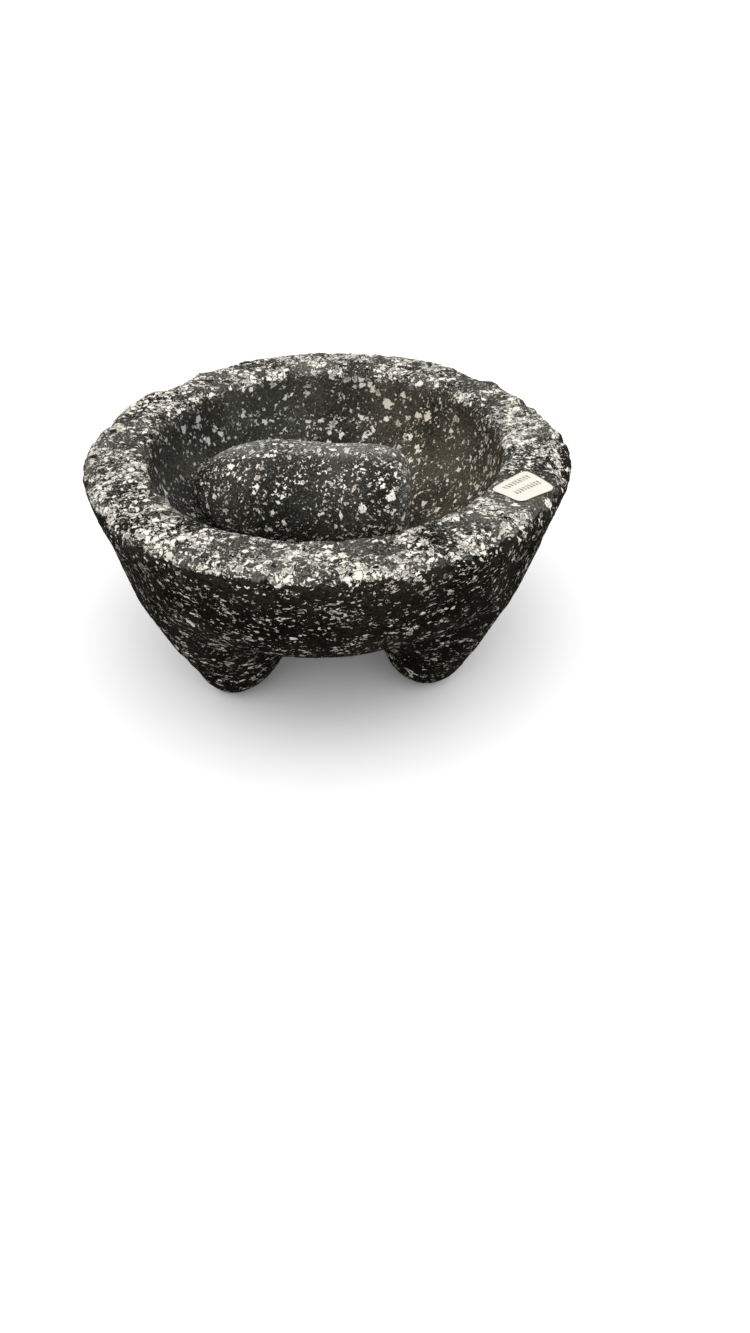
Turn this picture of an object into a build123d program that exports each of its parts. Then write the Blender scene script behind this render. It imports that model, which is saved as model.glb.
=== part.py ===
from build123d import *
import os
from math import asin, cos, degrees, hypot, pi, radians, sin, sqrt, tan

# Molcajete: a three-legged grinding bowl cut from one block of basalt, its stone pestle (the
# tejolote) lying in the hollow, and a small paper label stuck to the rim. Millimetres, +Z up.
# The origin is on the ground, under the centre of the bowl. -Y is the side between the two front
# legs.

# ---------------------------------------------------------------- driving dimensions
height = 108.0  # ground to the top of the rim; every "depth" below is measured down from there
rim_radius = 101.0  # widest radius of the bowl
rim_outer_round = 6.5
rim_inner_round = 5.0
wall_lean = 17.0  # degrees that the outer wall leans in from the vertical
haunch_depth = 36.0  # where the straight wall ends and starts to turn under
belly_radius = 80.0  # a point on the turn under the bowl
belly_depth = 52.0
keel_radius = 52.0  # a second one, close to the underside
keel_depth = 69.5
underside_radius = 36.0  # the flat part of the underside
underside_depth = 72.5

hollow_radius = 73.4  # opening of the hollow
hollow_depth = 55.0

leg_count = 3
first_leg_angle = -150.0  # degrees from +X
foot_radius = 21.0  # round end of a leg
foot_reach = 50.0  # bowl axis to the middle of a foot
foot_pad_radius = 6.0  # small worn flat that the foot stands on
leg_root_radius = 36.4  # thick end of a leg, inside the bowl's block
leg_root_reach = 55.2
leg_root_depth = 37.0
leg_blend = 8.0  # hollow rounding where a leg grows out of the underside

pestle_length = 95.6
pestle_radius = 23.6
pestle_waist = 0.7  # how far the grip draws in between the two ends
tail_length = 41.0  # long oval end
head_length = 19.5  # blunt end that grinds
head_fullness = 0.81  # shoulder of the blunt end: 0.71 is a plain ellipse, 1 is square
pestle_middle_x = -11.0
pestle_middle_y = 3.8
pestle_middle_depth = 27.1
pestle_yaw = -5.2  # degrees, seen from above
pestle_pitch = -2.9  # degrees, the blunt end lies lower

label_length = 20.8
label_width = 16.2
label_corner = 3.0
label_thickness = 0.2
label_x = 75.9
label_y = -44.4
label_turn = 39.0  # degrees from +X to its long side


def level(depth):
    """Height above the ground of a point at this depth below the top of the rim."""
    return height - depth


# ---------------------------------------------------------------- mortar
# The bowl's section is drawn towards -Y, midway between two legs. From the top of the rim it runs
# round the outer edge, down the leaning wall, and turns under to the flat underside.
bowl_section = Plane(origin=(0, 0, 0), x_dir=(0, -1, 0), z_dir=(-1, 0, 0))
edge_centre = Vector(rim_radius - rim_outer_round, level(rim_outer_round))
lean = radians(wall_lean)
wall_start = edge_centre + Vector(cos(lean), -sin(lean)) * rim_outer_round
haunch_radius = wall_start.X - (wall_start.Y - level(haunch_depth)) * tan(lean)
haunch = (haunch_radius, level(haunch_depth))
belly = (belly_radius, level(belly_depth))
keel = (keel_radius, level(keel_depth))
underside = (underside_radius, level(underside_depth))

# A leg is a cone with round ends. The ground cuts its lower ball to leave the foot pad.
foot_height = sqrt(foot_radius**2 - foot_pad_radius**2)
leg_length = hypot(level(leg_root_depth) - foot_height, leg_root_reach - foot_reach)
leg_taper = degrees(asin((leg_root_radius - foot_radius) / leg_length))


def leg_section(number):
    """Upright plane through a leg: its origin is the foot's centre, and +Y runs up to the root."""
    angle = radians(first_leg_angle) + 2 * pi * number / leg_count
    outward = Vector(cos(angle), sin(angle), 0)
    around = Vector(-sin(angle), cos(angle), 0)
    foot = outward * foot_reach + Vector(0, 0, foot_height)
    root = outward * leg_root_reach + Vector(0, 0, level(leg_root_depth))
    return Plane(origin=foot, x_dir=around.cross(root - foot), z_dir=-around)


with BuildPart() as mortar:
    # The bowl as a solid block.
    with BuildSketch(bowl_section):
        with BuildLine():
            Line((0, height), (edge_centre.X, height))
            edge = CenterArc(edge_centre, rim_outer_round, 90, -90 - wall_lean)
            wall = Line(edge @ 1, haunch)
            Spline(wall @ 1, belly, keel, underside, tangents=(wall % 1, (-1, 0)))
            Polyline(underside, (0, level(underside_depth)), (0, height))
        make_face()
    revolve(axis=Axis.Z)

    # The legs, joined to the block.
    for number in range(leg_count):
        section = leg_section(number)
        with BuildSketch(section):
            with BuildLine():
                foot_end = CenterArc((0, 0), foot_radius, -90, 90 - leg_taper)
                root_end = CenterArc((0, leg_length), leg_root_radius, -leg_taper, 90 + leg_taper)
                Line(foot_end @ 1, root_end @ 0)
                Line(root_end @ 1, foot_end @ 0)
            make_face()
        revolve(axis=Axis(section.origin, section.y_dir))
    split(bisect_by=Plane.XY, keep=Keep.TOP)

    # Where the flanks of the legs meet the turn under the bowl.
    leg_creases = mortar.edges().filter_by(GeomType.BSPLINE).filter_by_position(
        Axis.Z, level(keel_depth), level(belly_depth)
    )
    fillet(leg_creases, radius=leg_blend)

    # The hollow: half an ellipsoid that opens through the rounded inner edge of the rim.
    with BuildSketch(bowl_section):
        with BuildLine():
            lip_level = level(rim_inner_round)
            EllipticalCenterArc(
                (0, lip_level), hollow_radius, hollow_depth - rim_inner_round, start_angle=270, arc_size=90
            )
            lip_centre = (hollow_radius + rim_inner_round, lip_level)
            lip = CenterArc(lip_centre, rim_inner_round, 180, -90)
            clearance = height + leg_root_radius  # above everything that is cut away
            Polyline(lip @ 1, (lip_centre[0], clearance), (0, clearance), (0, level(hollow_depth)))
        make_face()
    revolve(axis=Axis.Z, mode=Mode.SUBTRACT)

mortar.part.label = "mortar"

# ---------------------------------------------------------------- pestle
# Turned about its own long axis, from the tip of the oval tail to the blunt head. It lies along X,
# low in the hollow, with the tail against the wall on the -X side.
yaw = radians(pestle_yaw)
pitch = radians(pestle_pitch)
pestle_direction = Vector(cos(pitch) * cos(yaw), cos(pitch) * sin(yaw), sin(pitch))
pestle_middle = Vector(pestle_middle_x, pestle_middle_y, level(pestle_middle_depth))
pestle_section = Plane(
    origin=pestle_middle - pestle_direction * (pestle_length / 2),
    x_dir=pestle_direction,
    z_dir=(sin(yaw), -cos(yaw), 0),
)
head_start = pestle_length - head_length
head_shoulder = (head_start + head_length * head_fullness, pestle_radius * head_fullness)
grip_middle = ((tail_length + head_start) / 2, pestle_radius - pestle_waist)

with BuildPart() as pestle:
    with BuildSketch(pestle_section):
        with BuildLine():
            tail = EllipticalCenterArc(
                (tail_length, 0), tail_length, pestle_radius, start_angle=90, arc_size=90
            )
            grip = Spline(
                tail @ 0, grip_middle, (head_start, pestle_radius), tangents=((1, 0), (1, 0))
            )
            head = Spline(
                grip @ 1, head_shoulder, (pestle_length, 0), tangents=((1, 0), (0, -1))
            )
            Line(head @ 1, tail @ 1)
        make_face()
    revolve(axis=Axis(pestle_section.origin, pestle_section.x_dir))

pestle.part.label = "pestle"

# ---------------------------------------------------------------- paper label
label_direction = (cos(radians(label_turn)), sin(radians(label_turn)), 0)
label_plane = Plane(origin=(label_x, label_y, height), x_dir=label_direction, z_dir=(0, 0, 1))

with BuildPart() as paper_label:
    with BuildSketch(label_plane):
        RectangleRounded(label_length, label_width, label_corner)
    extrude(amount=label_thickness)

paper_label.part.label = "paper_label"

# ---------------------------------------------------------------- files
os.makedirs("parts", exist_ok=True)
export_step(mortar.part, "parts/mortar.step")
export_step(pestle.part, "parts/pestle.step")
export_step(paper_label.part, "parts/paper_label.step")
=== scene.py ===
import math
import random

import bpy
import numpy as np
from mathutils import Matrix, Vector, noise
from mathutils.bvhtree import BVHTree


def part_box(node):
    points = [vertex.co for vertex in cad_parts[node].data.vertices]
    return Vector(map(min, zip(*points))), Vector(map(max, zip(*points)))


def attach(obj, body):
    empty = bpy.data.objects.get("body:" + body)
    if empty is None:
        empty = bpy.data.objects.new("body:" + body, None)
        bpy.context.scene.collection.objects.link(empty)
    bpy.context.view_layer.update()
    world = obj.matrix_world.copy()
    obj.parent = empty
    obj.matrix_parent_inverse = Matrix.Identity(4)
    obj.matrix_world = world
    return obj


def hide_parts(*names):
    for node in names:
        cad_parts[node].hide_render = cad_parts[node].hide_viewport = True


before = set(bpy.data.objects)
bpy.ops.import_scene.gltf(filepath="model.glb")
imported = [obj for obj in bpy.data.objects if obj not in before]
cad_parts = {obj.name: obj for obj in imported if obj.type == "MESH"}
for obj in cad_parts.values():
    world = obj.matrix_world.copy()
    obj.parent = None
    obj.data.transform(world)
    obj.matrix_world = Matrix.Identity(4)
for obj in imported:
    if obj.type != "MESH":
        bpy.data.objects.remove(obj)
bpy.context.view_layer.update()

# Molcajete of dark basalt with cream crystals, its pestle lying in the hollow, and a small paper
# label on the rim. Carving works in millimetres, in the frame's axes; meshes are in metres.
MM = 0.001


# ---------------------------------------------------------------- places, from the frame
def node_box(node):
    """Lowest and highest corner of a CAD node, in millimetres."""
    return [np.array(corner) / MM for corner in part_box(node)]


rim_radius, _, rim_top = node_box("mortar")[1]
pestle_tip = node_box("pestle")[1][0]  # the blunt end, at the largest x
label_middle = sum(node_box("paper_label")) / 2.0

# ---------------------------------------------------------------- dimensions, in millimetres
# The hollow is half an ellipsoid that starts below the rounded inner edge of the rim.
LIP_ROUND = 5.0
HOLLOW_RADIUS = 73.4
HOLLOW_DEPTH = 55.0

STONE_VOXEL = 1.3  # size of the carved facets
PESTLE_VOXEL = 1.0
ROUGH_VOXEL = 2.5  # size of the facets while the creases are filled
CREASE_ROUND = 18.0  # radius to which the creases between legs and bowl are filled

# Size of the waves, dents and grit that the stone is carved with, and how high each stands.
MORTAR_GRAIN = (45.0, 9.0, 3.2)
OUTSIDE_RELIEF = (0.70, 0.35, 0.18)
HOLLOW_RELIEF = (0.35, 0.12, 0.07)
RIM_RELIEF = (0.30, 0.55, 0.40)
RIM_WEAR = 0.35  # the rim's top is worn down by this much
PESTLE_GRAIN = (30.0, 8.0, 2.6)
PESTLE_RELIEF = (0.25, 0.14, 0.08)
PESTLE_WEAR = 0.15

# Where the hand-cut stone stands out from the true shape or falls short of it: middle, reach, push.
BULGES = [
    ((96.6, -29.5, 102.0), 30.0, 1.6),
    ((101.0, 1.0, 102.0), 30.0, 2.2),
    ((101.0, -17.0, 100.0), 18.0, 1.2),
    ((86.0, -44.0, 77.0), 20.0, 1.2),
    ((76.0, -34.0, 34.0), 36.0, -1.4),
    ((60.0, -34.0, 8.0), 26.0, -2.2),
    ((22.0, -77.0, 54.0), 24.0, -0.9),
    ((-28.0, -36.0, 4.0), 24.0, -2.6),
    ((-69.0, -41.0, 37.0), 24.0, 1.4),
    ((-82.0, -42.0, 66.0), 28.0, 0.8),
    ((-91.0, -36.0, 92.0), 26.0, -1.6),
    ((-98.0, -23.0, 100.0), 16.0, -0.6),
]

# Knocks along the rim's outer edge: degrees from +X, distance below the rim, reach and depth.
NAMED_CHIPS = [
    (-28.0, 6.0, 5.5, 2.4),
    (-17.0, 1.5, 5.0, 1.0),
    (-6.0, 3.0, 5.0, 1.3),
    (1.0, 1.0, 6.0, 2.0),
    (20.0, 2.0, 7.0, 2.4),
    (27.0, 1.0, 6.0, 0.9),
    (41.0, 1.0, 10.0, 1.8),
    (137.0, 1.0, 11.0, 2.4),
]
# Smaller ones, spread round the whole edge. Each pair is the least and the most.
LOOSE_CHIPS = 55
LOOSE_ANGLE = (0.0, 360.0)
LOOSE_BELOW = (0.5, 6.0)
LOOSE_REACH = (3.0, 7.0)
LOOSE_DEPTH = (0.5, 1.6)
CHIP_INSET = 2.0  # the knocks lie this far inside the rim's radius
CHIP_CORE = 0.55  # share of its reach within which a knock has its full depth
CHIP_GRIT = 0.5  # how much the grit roughens a knock

# The stone is smoother under the label, and has fewer crystals under it and just round it, which paints
# a darker shadow round the label. This fades between two distances.
LABEL_CALM_AND_SHADOW = (18.0, 13.0)
CALM_SMOOTHNESS = 0.9
LABEL_SHADOW_FAVOUR = -0.2
# Crystals are commoner towards the rim's outer edge. This fades between two radii.
EDGE_BAND = (rim_radius - 15.0, rim_radius - 7.0)
EDGE_FAVOUR = 0.05
# The wall counts as a flank where the x part of its normal passes these limits.
FLANK_BAND = (0.45, 0.8)
# The hollow turns from painted shade, cool and darker, to painted light, paler and browner, between
# these two values of x.
PAINTED_LIGHT_BAND = (-0.3 * HOLLOW_RADIUS, 0.8 * HOLLOW_RADIUS)
# Stone dust and painted light on the pestle: dust and a painted highlight on its upper side, and
# thinly, as dust only, on the last stretch of its blunt end. It thickens as the normal turns that way.
DUST_AND_LIGHT_BAND = (0.6, 0.98)
DUSTY_STRETCH = 14.0
END_DUST = 0.6

LABEL_LENGTH = 20.8
LABEL_WIDTH = 16.2
LABEL_CORNER = 3.0
LABEL_TURN = 39.0  # degrees from +X to its long side
LABEL_ROWS = 21  # points of the sheet across and along
LABEL_COLUMNS = 27
LABEL_SHEET = 0.18  # thickness of the paper
LABEL_GAP = 0.05  # least gap between the paper and the stone
LABEL_CURL = 0.35  # how far its near edge has come unstuck


# ---------------------------------------------------------------- small helpers
def smooth_step(value, low, high):
    """0 at low, 1 at high, smooth between. Works on arrays, and with low above high."""
    share = np.clip((value - low) / (high - low), 0.0, 1.0)
    return share * share * (3.0 - 2.0 * share)


def noise_at(points, cell, seed):
    """Smooth noise of about -1 to 1 whose features are about this many millimetres across."""
    shift = Vector((seed * 17.3, seed * 5.1, seed * 29.7))
    octaves = 2
    return np.array([
        noise.fractal(Vector(point) / cell + shift, 1.0, 2.0, octaves) for point in points
    ])


def grain_at(points, cells, first_seed):
    """Waves, dents and grit at each point."""
    return [noise_at(points, cell, first_seed + step) for step, cell in enumerate(cells)]


def add_up(amounts, layers):
    return sum(amount * layer for amount, layer in zip(amounts, layers))


def add_remesh(piece, voxel):
    remesh = piece.modifiers.new("remesh", "REMESH")
    remesh.mode = "VOXEL"
    remesh.voxel_size = voxel * MM


def add_swell(piece, distance):
    swell = piece.modifiers.new("swell", "DISPLACE")
    swell.mid_level = 0.0
    swell.strength = distance * MM


def make_smooth(mesh):
    mesh.polygons.foreach_set("use_smooth", [True] * len(mesh.polygons))


def stone_skin(node, name, voxel, crease_round=0.0):
    """A new closed mesh over a CAD node, in even small facets, ready to carve.

    Swelling it and shrinking it back by crease_round fills the creases to that radius."""
    piece = bpy.data.objects.new(name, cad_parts[node].data.copy())
    bpy.context.collection.objects.link(piece)
    if crease_round:
        add_remesh(piece, ROUGH_VOXEL)
        add_swell(piece, crease_round)
        add_remesh(piece, ROUGH_VOXEL)
        add_swell(piece, -crease_round)
    add_remesh(piece, voxel)
    depsgraph = bpy.context.evaluated_depsgraph_get()
    skin = bpy.data.meshes.new_from_object(piece.evaluated_get(depsgraph))
    piece.modifiers.clear()
    piece.data = skin
    skin.name = name
    skin.materials.clear()
    make_smooth(skin)
    return piece


def read_vertices(mesh):
    """Positions in millimetres and unit normals, as two (count, 3) arrays."""
    count = len(mesh.vertices)
    places = np.empty(count * 3)
    normals = np.empty(count * 3)
    mesh.vertices.foreach_get("co", places)
    mesh.vertices.foreach_get("normal", normals)
    return places.reshape(-1, 3) / MM, normals.reshape(-1, 3)


def write_vertices(mesh, places):
    mesh.vertices.foreach_set("co", (places * MM).ravel())
    mesh.update()


def paint(mesh, name, values):
    """Stores one number per vertex, for a material to read."""
    layer = mesh.attributes.new(name, "FLOAT", "POINT")
    layer.data.foreach_set("value", values.astype(np.float32))


def distance_from(places, middle):
    return np.linalg.norm(places - np.array(middle), axis=1)


# ---------------------------------------------------------------- carving
def mortar_regions(places, normals):
    """How much each vertex belongs to the rim's top, to the hollow and to the outside.

    Each fade has a low and a high limit: heights and radii in millimetres, or parts of a normal."""
    radius = np.hypot(places[:, 0], places[:, 1])
    outward = (normals[:, :2] * places[:, :2]).sum(axis=1) / np.maximum(radius, 1.0)
    facing_in = smooth_step(normals[:, 2] - outward, 0.1, 0.4)
    near_top = smooth_step(places[:, 2], rim_top - 11.0, rim_top - 5.0)
    rim = near_top * smooth_step(normals[:, 2], 0.1, 0.75)
    inner_limit = HOLLOW_RADIUS + LIP_ROUND
    within = smooth_step(radius, inner_limit + 4.0, inner_limit - 1.0)
    floor_level = rim_top - HOLLOW_DEPTH
    above_floor = smooth_step(places[:, 2], floor_level - 8.0, floor_level - 4.0)
    inside = within * above_floor * facing_in * (1.0 - rim)
    outside = np.clip(1.0 - rim - inside, 0.0, 1.0)
    return rim, inside, outside


def chip_list():
    """All knocks on the rim's outer edge: the named ones and a sprinkling of small ones."""
    dice = random.Random(7)
    ranges = (LOOSE_ANGLE, LOOSE_BELOW, LOOSE_REACH, LOOSE_DEPTH)
    loose = [[dice.uniform(*limits) for limits in ranges] for _ in range(LOOSE_CHIPS)]
    return NAMED_CHIPS + loose


def chip_depth(places):
    """How deep the knocks cut at each vertex."""
    depth = np.zeros(len(places))
    out = rim_radius - CHIP_INSET
    for angle, below, reach, cut in chip_list():
        turn = math.radians(angle)
        middle = (out * math.cos(turn), out * math.sin(turn), rim_top - below)
        share = smooth_step(distance_from(places, middle), reach, reach * CHIP_CORE)
        depth = np.maximum(depth, cut * share)
    return depth


def bulge_height(places):
    """How far the named bulges and shallows push each vertex outwards."""
    height = np.zeros(len(places))
    for middle, reach, push in BULGES:
        height += push * smooth_step(distance_from(places, middle), reach, 0.0)
    return height


def carve_mortar():
    piece = stone_skin("mortar", "mortar_stone", STONE_VOXEL, CREASE_ROUND)
    mesh = piece.data
    places, normals = read_vertices(mesh)
    rim, inside, outside = mortar_regions(places, normals)
    near_label = smooth_step(distance_from(places, label_middle), *LABEL_CALM_AND_SHADOW)
    near_edge = smooth_step(np.hypot(places[:, 0], places[:, 1]), *EDGE_BAND)

    wide, dents, grit = grain_at(places, MORTAR_GRAIN, first_seed=1)
    height = outside * add_up(OUTSIDE_RELIEF, (wide, dents, grit))
    height += inside * add_up(HOLLOW_RELIEF, (wide, dents, grit))
    roughness = 1.0 - CALM_SMOOTHNESS * near_label
    height += rim * (add_up(RIM_RELIEF, (wide, dents * roughness, grit * roughness)) - RIM_WEAR)
    height += bulge_height(places) * (1.0 - rim) * (1.0 - inside)
    height -= chip_depth(places) * (1.0 + CHIP_GRIT * grit)
    write_vertices(mesh, places + normals * height[:, None])

    paint(mesh, "rim", rim)
    # Near the label, fewer crystals paint a darker shadow round it.
    paint(mesh, "favour", rim * (EDGE_FAVOUR * near_edge + LABEL_SHADOW_FAVOUR * near_label))
    paint(mesh, "inside", inside)
    paint(mesh, "flank", smooth_step(np.abs(normals[:, 0]), *FLANK_BAND))
    # Painted light and shade: how far the hollow is painted as lit, towards +X, rather than shaded.
    paint(mesh, "painted_light_side", smooth_step(places[:, 0], *PAINTED_LIGHT_BAND))
    return piece


def carve_pestle():
    piece = stone_skin("pestle", "pestle_stone", PESTLE_VOXEL)
    mesh = piece.data
    places, normals = read_vertices(mesh)
    height = add_up(PESTLE_RELIEF, grain_at(places, PESTLE_GRAIN, first_seed=5)) - PESTLE_WEAR
    write_vertices(mesh, places + normals * height[:, None])
    # Most dust and painted light lie 30 degrees off the top, on the far side.
    far_top = 0.5 * normals[:, 1] + 0.87 * normals[:, 2]
    dusty_end = smooth_step(places[:, 0], pestle_tip - DUSTY_STRETCH, pestle_tip)
    paint(mesh, "dust_and_painted_light", np.maximum(smooth_step(far_top, *DUST_AND_LIGHT_BAND), END_DUST * dusty_end))
    return piece


# ---------------------------------------------------------------- paper label
def label_grid():
    """Points of the flat label with its rounded corners, row by row: along and across."""
    spots = []
    for across in np.linspace(-0.5, 0.5, LABEL_ROWS) * LABEL_WIDTH:
        into_corner = max(abs(across) - (LABEL_WIDTH / 2 - LABEL_CORNER), 0.0)
        trim = LABEL_CORNER - math.sqrt(max(LABEL_CORNER**2 - into_corner**2, 0.0))
        for along in np.linspace(-1.0, 1.0, LABEL_COLUMNS) * (LABEL_LENGTH / 2 - trim):
            spots.append((along, across))
    return np.array(spots)


def label_level(spots, flat, stone):
    """Height of the paper at each point, over the stone under it."""
    tree = BVHTree.FromObject(stone, bpy.context.evaluated_depsgraph_get())
    down = Vector((0, 0, -1))
    drops = [tree.ray_cast(Vector((x * MM, y * MM, 2 * rim_top * MM)), down)[0] for x, y in flat]
    ground = np.array([drop.z / MM for drop in drops])
    # Paper can't follow single grains: a curved sheet is laid through them, then lifted clear.
    terms = np.column_stack([np.ones(len(spots)), spots, spots**2, spots[:, :1] * spots[:, 1:]])
    sheet = terms @ np.linalg.lstsq(terms, ground, rcond=None)[0]
    sheet = sheet + np.max(ground - sheet) + LABEL_GAP
    near = smooth_step(spots[:, 1], -LABEL_WIDTH * 0.2, -LABEL_WIDTH * 0.5)
    return sheet + LABEL_CURL * near * smooth_step(spots[:, 0], LABEL_LENGTH * 0.5, -LABEL_LENGTH * 0.3)


def make_label(stone):
    """The paper follows the rim under it, and its near long edge has curled up a little."""
    turn = math.radians(LABEL_TURN)
    along = np.array([math.cos(turn), math.sin(turn)])
    across = np.array([-math.sin(turn), math.cos(turn)])
    spots = label_grid()
    flat = label_middle[:2] + spots[:, :1] * along + spots[:, 1:] * across
    level = label_level(spots, flat, stone)

    mesh = bpy.data.meshes.new("label_sheet")
    faces = [
        (start, start + 1, start + LABEL_COLUMNS + 1, start + LABEL_COLUMNS)
        for row in range(LABEL_ROWS - 1)
        for start in range(row * LABEL_COLUMNS, (row + 1) * LABEL_COLUMNS - 1)
    ]
    mesh.from_pydata((np.column_stack([flat, level]) * MM).tolist(), [], faces)
    make_smooth(mesh)
    paint(mesh, "along", spots[:, 0])
    paint(mesh, "across", spots[:, 1])
    piece = bpy.data.objects.new("label_sheet", mesh)
    bpy.context.collection.objects.link(piece)
    thick = piece.modifiers.new("thickness", "SOLIDIFY")
    thick.thickness = LABEL_SHEET * MM
    thick.offset = 1.0
    return piece


# ---------------------------------------------------------------- node graphs
# Noise is regular round its own zero point, so patterns are moved this far off the object, in mm.
NOISE_ASIDE = (371.3, 518.7, 643.9)

# A crystal fills one cell of a pattern, but for a dark gap at the cell's border. Gaps, edges and
# depths are shares of a cell's size, and a tint is from 0 to 1.
LEAST_GAP = 0.02
SOFT_EDGE = 0.06
RINGED_TINTS = (0.60, 0.62)  # crystals with a tint above these are paler at their edge
CORE_STARTS = (0.10, 0.20)  # depths between which such an edge gives way to the core
CORE_DULLNESS = 0.65
# Single crystals are shaken by a noise of this size and strength, in millimetres.
SINGLE_SHAKE = (2.6, 7.0)
SINGLE_EDGE = 0.25

GLOSS = 0.02  # every surface here is dull


class Graph:
    """Short names for the material nodes used here. Sockets or numbers go in, a socket comes out."""

    def __init__(self, name):
        self.material = bpy.data.materials.new(name)
        self.material.use_nodes = True
        self.nodes = self.material.node_tree.nodes
        self.links = self.material.node_tree.links
        self.nodes.clear()

    def node(self, kind, inputs=None, **settings):
        made = self.nodes.new("ShaderNode" + kind)
        for key, value in settings.items():
            setattr(made, key, value)
        for key, value in (inputs or {}).items():
            if isinstance(value, bpy.types.NodeSocket):
                self.links.new(value, made.inputs[key])
            else:
                made.inputs[key].default_value = value
        return made

    def math(self, operation, *values):
        return self.node("Math", dict(enumerate(values)), operation=operation).outputs[0]

    def times(self, first, second):
        return self.math("MULTIPLY", first, second)

    def apart(self, first, second):
        """How far two numbers are apart."""
        return self.math("ABSOLUTE", self.math("SUBTRACT", first, second))

    def most(self, *values):
        result = values[0]
        for value in values[1:]:
            result = self.math("MAXIMUM", result, value)
        return result

    def ramp(self, value, low, high, to_low=0.0, to_high=1.0):
        inputs = {
            "Value": value, "From Min": low, "From Max": high, "To Min": to_low, "To Max": to_high
        }
        return self.node("MapRange", inputs, interpolation_type="SMOOTHSTEP").outputs["Result"]

    def vector(self, operation, first, second):
        return self.node("VectorMath", {0: first, 1: second}, operation=operation).outputs[0]

    # A Mix node has its numbers at inputs 2 and 3, and its colours at inputs 6 and 7.
    def mix(self, share, first, second):
        """Mixes two colours, or two sets of coordinates."""
        inputs = {"Factor": share, 6: first, 7: second}
        return self.node("Mix", inputs, data_type="RGBA").outputs[2]

    def blend(self, share, first, second):
        """Mixes two numbers."""
        return self.node("Mix", {"Factor": share, 2: first, 3: second}).outputs[0]

    def painted(self, name):
        return self.node("Attribute", attribute_name=name).outputs["Fac"]

    def places(self, stretch=(1.0, 1.0, 1.0)):
        """Object coordinates in millimetres. A stretch below 1 draws the pattern out."""
        where = self.node("TexCoord").outputs["Object"]
        inputs = {0: where, 1: tuple(factor / MM for factor in stretch), 2: NOISE_ASIDE}
        return self.node("VectorMath", inputs, operation="MULTIPLY_ADD").outputs[0]

    def noise(self, where, cell, detail=3.0, roughness=0.55, output=0):
        inputs = {"Vector": where, "Scale": 1.0 / cell, "Detail": detail, "Roughness": roughness}
        return self.node("TexNoise", inputs).outputs[output]

    def ragged(self, where, cell, amount):
        """The same places, shaken, so that what is drawn on them gets broken edges."""
        shake = self.noise(where, cell, detail=2.0, roughness=0.6, output="Color")
        centred = self.vector("SUBTRACT", shake, (0.5, 0.5, 0.5))
        scaled = self.node("VectorMath", {0: centred, "Scale": amount}, operation="SCALE")
        return self.vector("ADD", where, scaled.outputs[0])

    def roughened(self, mask, border, amount):
        """A painted mask whose border, at 0.5, is made to wander by a noise from 0 to 1."""
        return self.math("ADD", mask, self.math("MULTIPLY_ADD", border, 2 * amount, -amount))

    def crystals(self, where, cell, share, gap):
        """Angular crystals in this share of the cells. Gives their brightness and a tint each.

        Each keeps clear of its cell's border, by gap at most, so neighbours have a crack between."""
        inputs = {"Vector": where, "Scale": 1.0 / cell}
        colour = self.node("TexVoronoi", inputs).outputs["Color"]
        edge = self.node("TexVoronoi", inputs, feature="DISTANCE_TO_EDGE").outputs["Distance"]
        presence, size, tint = self.node("SeparateColor", {0: colour}).outputs
        shrink = self.ramp(size, 0.0, 1.0, LEAST_GAP, gap)
        depth = self.math("SUBTRACT", edge, shrink)
        body = self.ramp(depth, 0.0, SOFT_EDGE)
        ringed = self.ramp(tint, *RINGED_TINTS, 0.0, CORE_DULLNESS)
        core = self.ramp(depth, *CORE_STARTS)
        body = self.times(body, self.math("SUBTRACT", 1.0, self.times(core, ringed)))
        return self.times(body, self.math("LESS_THAN", presence, share)), tint

    def single_crystals(self, where, spots):
        """One ragged crystal at each (x, y, z, radius) in millimetres."""
        where = self.ragged(where, *SINGLE_SHAKE)
        result = 0.0
        for x, y, z, radius in spots:
            middle = tuple(Vector((x, y, z)) + Vector(NOISE_ASIDE))
            distance = self.node("VectorMath", {0: where, 1: middle}, operation="DISTANCE").outputs[1]
            result = self.most(result, self.ramp(distance, radius, radius - SINGLE_EDGE))
        return result

    def finish(self, colour, height, depth, roughness):
        """Dull surface with a bump of this depth in millimetres."""
        bump = self.node("Bump", {"Height": height, "Distance": depth * MM, "Strength": 1.0})
        inputs = {
            "Base Color": colour, "Roughness": roughness, "Normal": bump.outputs[0],
            "Specular IOR Level": GLOSS,
        }
        shader = self.node("BsdfPrincipled", inputs)
        output = self.node("OutputMaterial")
        self.links.new(shader.outputs[0], output.inputs["Surface"])
        return self.material


# ---------------------------------------------------------------- stone
CREAM = (1.0, 0.965, 0.865, 1.0)
CREAM_WARM = (0.94, 0.82, 0.70, 1.0)

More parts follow.
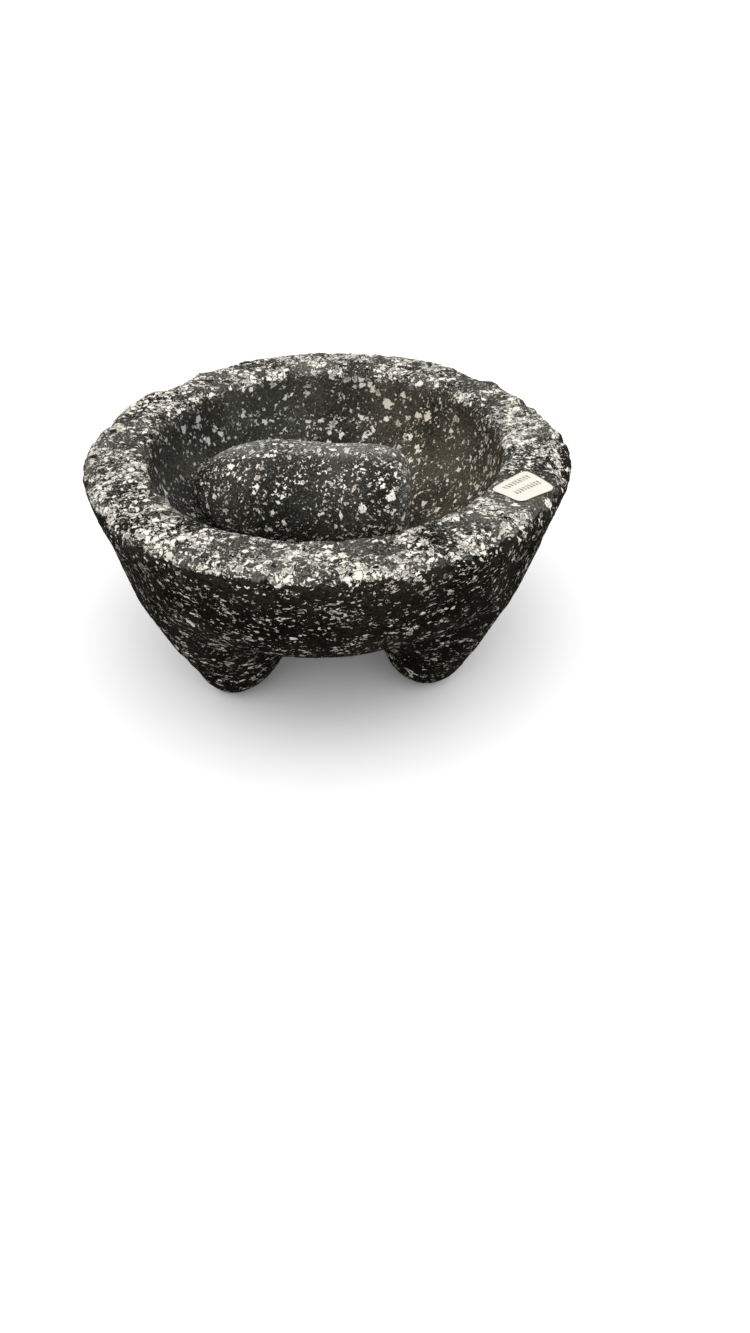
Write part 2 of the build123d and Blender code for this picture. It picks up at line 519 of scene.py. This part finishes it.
# Each look of the same stone. Colours are linear and sizes in millimetres. "sparse" and "dense" are
# the shares of cells that hold a crystal, outside and inside a cluster. The lower "fleck", the more
# fine pale flecks between the crystals. "bright" dulls the crystals.
RIM_LOOK = {
    "dark": (0.005, 0.005, 0.004, 1.0),
    "light": (0.155, 0.155, 0.132, 1.0),
    "cell": 2.6, "gap": 0.13, "sparse": 0.10, "dense": 0.76,
    "cluster": 9.0, "fleck": 0.60, "warmth": 0.15, "bright": 1.0,
}
HOLLOW_LOOK = {
    "dark": (0.018, 0.017, 0.014, 1.0),
    "light": (0.078, 0.072, 0.057, 1.0),
    "cell": 2.8, "gap": 0.26, "sparse": 0.09, "dense": 0.27,
    "cluster": 14.0, "fleck": 0.64, "warmth": 0.8, "bright": 0.62,
}
WALL_LOOK = {
    "dark": (0.003, 0.003, 0.002, 1.0),
    "light": (0.034, 0.031, 0.024, 1.0),
    "cell": 1.8, "gap": 0.24, "sparse": 0.05, "dense": 0.26,
    "cluster": 9.0, "fleck": 0.67, "warmth": 0.6, "bright": 1.0,
}
PESTLE_LOOK = {
    "dark": (0.011, 0.012, 0.009, 1.0),
    "light": (0.058, 0.057, 0.049, 1.0),
    "cell": 2.0, "gap": 0.26, "sparse": 0.12, "dense": 0.30,
    "cluster": 12.0, "fleck": 0.63, "warmth": 0.4, "bright": 0.85,
}
# The pestle's upper side: stone dust, and painted light that makes it paler as if lit from above.
DUSTY_AND_LIT_LOOK = {
    "dark": (0.045, 0.047, 0.043, 1.0),
    "light": (0.22, 0.22, 0.20, 1.0),
    "cell": 2.0, "gap": 0.20, "sparse": 0.16, "dense": 0.40,
    "cluster": 9.0, "fleck": 0.58, "warmth": 0.1, "bright": 0.95,
}

# Painted light and shade in the hollow: it is painted cooler and darker on the -X side, as shade, and
# paler and browner on the +X side, as light.
PAINTED_SHADE_TINT = (0.86, 0.92, 0.98, 1.0)
PAINTED_LIGHT_TINT = (1.28, 1.25, 1.16, 1.0)

# Crystals of the wall are drawn out level round the front and back, down the slope at the flanks.
LEVEL_STRETCH = (0.75, 0.75, 1.25)
DOWN_STRETCH = (1.3, 1.3, 0.6)

# The borders of the rim and of the flanks wander by a noise of this size.
BORDER_SIZE = 6.0
RIM_WANDER = 2.0
RIM_BORDER = (0.42, 0.58)
FLANK_WANDER = 1.0
RIM_BUMP = 2.0  # the rim's small bumps are this many times higher than the rest

# The largest single crystals: middle and radius.
MORTAR_CRYSTALS = [
    (30.7, 65.2, 93.6, 2.5),
    (48.7, 52.5, 92.1, 2.1),
    (23.4, 69.5, 100.4, 2.0),
    (44.4, 59.2, 105.3, 1.8),
    (-27.9, 63.9, 87.3, 2.0),
    (8.1, 63.5, 78.6, 1.8),
    (62.0, 41.4, 106.2, 1.7),
    (-58.6, -80.0, 106.0, 2.8),
    (85.2, -52.3, 105.0, 2.6),
    (-54.2, -74.5, 71.5, 2.4),
]
PESTLE_CRYSTALS = [
    (27.2, -18.2, 90.7, 2.0),
    (-40.4, -3.2, 99.5, 1.6),
    (13.6, -21.0, 86.8, 1.6),
]

# What all looks share. Shaking is by a noise of this size and strength, in millimetres.
CRYSTAL_SHAKE = (1.8, 3.2)
CLUSTER_EDGE = (0.40, 0.62)  # levels of noise between which a cluster thickens
SMALL_SIZE = 0.45  # small crystals against large ones
SMALL_SHARE = 0.7
SMALL_BRIGHT = 0.9
MOTTLE_SIZE = 1.1
FLECK_EDGE = 0.03
FLECK_BRIGHT = 0.8
PATCH_SIZE = 28.0  # broad patches of lighter and darker ground
PATCH_STRENGTH = 0.5
GROUND_EDGE = (0.34, 0.66)
CRYSTAL_HEIGHT = 0.35  # how far crystals stand out, against the mottle's 1


def stone_look(graph, where, look, singles, favour=0.0):
    """Colour and relief of one look of the stone. Crystals are commoner where favour is above 0."""
    # Crystals of two sizes, most of them in clusters, and fine flecks between them.
    broken = graph.ragged(where, *CRYSTAL_SHAKE)
    cluster = graph.math("ADD", graph.noise(where, look["cluster"]), favour)
    share = graph.ramp(cluster, *CLUSTER_EDGE, look["sparse"], look["dense"])
    small_share = graph.times(share, SMALL_SHARE)
    large, tint = graph.crystals(broken, look["cell"], share, look["gap"])
    small, _ = graph.crystals(broken, look["cell"] * SMALL_SIZE, small_share, look["gap"])
    mottle = graph.noise(where, MOTTLE_SIZE, detail=4.0, roughness=0.8)
    flecks = graph.ramp(mottle, look["fleck"], look["fleck"] + FLECK_EDGE, 0.0, FLECK_BRIGHT)
    pale = graph.most(large, graph.times(small, SMALL_BRIGHT), flecks, singles)

    # The ground between them: a fine mottle, lighter in some patches than in others.
    patches = graph.noise(where, PATCH_SIZE, detail=2.0)
    patches = graph.math("MULTIPLY_ADD", patches, PATCH_STRENGTH, -PATCH_STRENGTH / 2)
    lightness = graph.ramp(graph.math("ADD", mottle, patches), *GROUND_EDGE)
    ground = graph.mix(lightness, look["dark"], look["light"])
    cream = graph.mix(graph.times(tint, look["warmth"]), CREAM, CREAM_WARM)
    relief = graph.math("ADD", graph.times(pale, CRYSTAL_HEIGHT), mottle)
    return graph.mix(graph.times(pale, look["bright"]), ground, cream), relief


def mortar_material():
    graph = Graph("basalt_mortar")
    where = graph.places()
    singles = graph.single_crystals(where, MORTAR_CRYSTALS)
    border = graph.noise(where, BORDER_SIZE, detail=5.0, roughness=0.65)
    rim = graph.ramp(graph.roughened(graph.painted("rim"), border, RIM_WANDER), *RIM_BORDER)
    inside = graph.painted("inside")
    flank = graph.roughened(graph.painted("flank"), border, FLANK_WANDER)
    flank = graph.math("GREATER_THAN", flank, 0.5)
    drawn_out = graph.mix(flank, graph.places(LEVEL_STRETCH), graph.places(DOWN_STRETCH))

    # The rim's favour holds the commoner crystals at its outer edge and the painted shadow round the
    # label.
    rim_colour, rim_relief = stone_look(graph, where, RIM_LOOK, singles, graph.painted("favour"))
    hollow_colour, hollow_relief = stone_look(graph, where, HOLLOW_LOOK, singles)
    # Painted light and shade across the hollow: cool and darker on the -X side, paler and browner on
    # the +X side.
    tint = graph.mix(graph.painted("painted_light_side"), PAINTED_SHADE_TINT, PAINTED_LIGHT_TINT)
    hollow_colour = graph.vector("MULTIPLY", hollow_colour, tint)
    wall_colour, wall_relief = stone_look(graph, drawn_out, WALL_LOOK, singles)

    colour = graph.mix(rim, graph.mix(inside, wall_colour, hollow_colour), rim_colour)
    relief = graph.blend(rim, graph.blend(inside, wall_relief, hollow_relief), rim_relief)
    relief = graph.times(relief, graph.blend(rim, 1.0, RIM_BUMP))
    return graph.finish(colour, relief, depth=0.6, roughness=0.85)


def pestle_material():
    graph = Graph("basalt_pestle")
    where = graph.places()
    # Where the pestle faces up and away, it is painted lighter, as dust and as painted light.
    dusty_and_lit = graph.painted("dust_and_painted_light")
    singles = graph.single_crystals(where, PESTLE_CRYSTALS)
    clean_colour, clean_relief = stone_look(graph, where, PESTLE_LOOK, singles)
    dusty_and_lit_colour, dusty_and_lit_relief = stone_look(graph, where, DUSTY_AND_LIT_LOOK, singles)
    colour = graph.mix(dusty_and_lit, clean_colour, dusty_and_lit_colour)
    relief = graph.blend(dusty_and_lit, clean_relief, dusty_and_lit_relief)
    return graph.finish(colour, relief, depth=0.4, roughness=0.8)


# ---------------------------------------------------------------- paper
PAPER = (0.74, 0.72, 0.64, 1.0)
PAPER_SHADE = (0.67, 0.65, 0.57, 1.0)
INK = (0.15, 0.155, 0.14, 1.0)

# Two rows of plain printed dashes, in millimetres from the label's middle.
ROW_PLACES = (3.9, -1.6)
ROW_HALF_HEIGHT = 1.2
ROW_MIDDLE = 0.5
ROW_HALF_LENGTH = 7.1
INK_BLUR = 0.25  # softness of the rows' long edges
END_BLUR = 0.3
DASHES_PER_MM = 0.62
DASH_SHARE = 0.66  # of the distance from one dash to the next
FIBRE_SIZE = 0.6
INK_WEAR_SIZE = 0.8


def label_material():
    """Cream paper with two rows of plain printed dashes, worn thin in places."""
    graph = Graph("label_paper")
    along = graph.painted("along")
    across = graph.painted("across")
    fibres = graph.noise(graph.places(), FIBRE_SIZE)
    paper = graph.mix(graph.ramp(fibres, 0.3, 0.7), PAPER, PAPER_SHADE)
    ends = graph.ramp(graph.apart(along, ROW_MIDDLE), ROW_HALF_LENGTH + END_BLUR, ROW_HALF_LENGTH)
    rows = graph.most(*[
        graph.ramp(graph.apart(across, place), ROW_HALF_HEIGHT + INK_BLUR, ROW_HALF_HEIGHT)
        for place in ROW_PLACES
    ])
    dashes = graph.math("LESS_THAN", graph.math("FRACT", graph.times(along, DASHES_PER_MM)), DASH_SHARE)
    worn = graph.ramp(graph.noise(graph.places(), INK_WEAR_SIZE), 0.35, 0.6, 0.3, 0.85)
    ink = graph.times(graph.times(graph.times(rows, ends), dashes), worn)
    return graph.finish(graph.mix(ink, paper, INK), fibres, depth=0.03, roughness=0.75)


# ---------------------------------------------------------------- pieces
def hand_over(piece, material, node, body):
    """Lets a piece stand for its CAD node, ride on a body and fill a material slot."""
    piece.data.materials.append(material)
    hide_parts(node)
    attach(piece, body)


mortar = carve_mortar()
hand_over(mortar, mortar_material(), "mortar", "mortar")
hand_over(carve_pestle(), pestle_material(), "pestle", "pestle")
hand_over(make_label(mortar), label_material(), "paper_label", "mortar")

# ---------------------------------------------------------------- floor, light and camera
FLOOR_HALF_SIDE = 6.0  # metres
FLOOR_PALE = (0.90, 0.90, 0.90, 1.0)
FLOOR_PALER = (0.92, 0.92, 0.92, 1.0)
FLOOR_BOUNCE = (0.20, 0.20, 0.20, 1.0)
SKY_STRENGTH = 0.5
LAMP_STRENGTH = 3.15
LAMP_SPREAD = 80.0  # degrees
LAMP_LEAN = 25.0  # degrees from overhead, towards the viewer's side
CAMERA_PLACE = (0.0, -0.3892, 0.3040)  # metres
CAMERA_TURN = (50.69, 0.60, -3.38)  # degrees
LENS = 27.4
SENSOR_WIDTH = 36.0


def add_object(name, data):
    holder = bpy.data.objects.new(name, data)
    bpy.context.collection.objects.link(holder)
    return holder


def degrees_to_turn(angles):
    return tuple(math.radians(angle) for angle in angles)


def add_floor():
    corners = [(-1, -1, 0), (1, -1, 0), (1, 1, 0), (-1, 1, 0)]
    mesh = bpy.data.meshes.new("floor")
    places = [(x * FLOOR_HALF_SIDE, y * FLOOR_HALF_SIDE, z) for x, y, z in corners]
    mesh.from_pydata(places, [], [(0, 1, 2, 3)])
    # Pale to look at, but it throws little light back up, so the stone's flanks stay dark.
    graph = Graph("floor")
    seen = graph.node("LightPath").outputs["Is Camera Ray"]
    grain = graph.noise(graph.places(), 40.0)
    colour = graph.mix(seen, FLOOR_BOUNCE, graph.mix(grain, FLOOR_PALE, FLOOR_PALER))
    mesh.materials.append(graph.finish(colour, grain, depth=0.01, roughness=0.9))
    add_object("floor", mesh)


def add_sky():
    """The backdrop looks white, however strongly it lights the stone."""
    world = bpy.data.worlds.new("studio")
    world.use_nodes = True
    nodes = world.node_tree.nodes
    links = world.node_tree.links
    background = nodes["Background"]
    background.inputs["Color"].default_value = (1.0, 1.0, 1.0, 1.0)
    seen = nodes.new("ShaderNodeLightPath").outputs["Is Camera Ray"]
    shown = nodes.new("ShaderNodeMapRange")
    shown.inputs["To Min"].default_value = SKY_STRENGTH
    links.new(seen, shown.inputs["Value"])
    links.new(shown.outputs["Result"], background.inputs["Strength"])
    bpy.context.scene.world = world


def add_lamp():
    """A broad soft light overhead."""
    lamp = bpy.data.lights.new("soft_light", "SUN")
    lamp.energy = LAMP_STRENGTH
    lamp.angle = math.radians(LAMP_SPREAD)
    add_object("soft_light", lamp).rotation_euler = degrees_to_turn((LAMP_LEAN, 0.0, 0.0))


def add_camera():
    camera = bpy.data.cameras.new("camera")
    camera.lens = LENS
    camera.sensor_width = SENSOR_WIDTH
    camera.clip_start = 0.01
    camera.clip_end = 100.0
    holder = add_object("camera", camera)
    holder.location = CAMERA_PLACE
    holder.rotation_euler = degrees_to_turn(CAMERA_TURN)
    bpy.context.scene.camera = holder


add_floor()
add_sky()
add_lamp()
add_camera()
bpy.context.scene.view_settings.view_transform = "Standard"
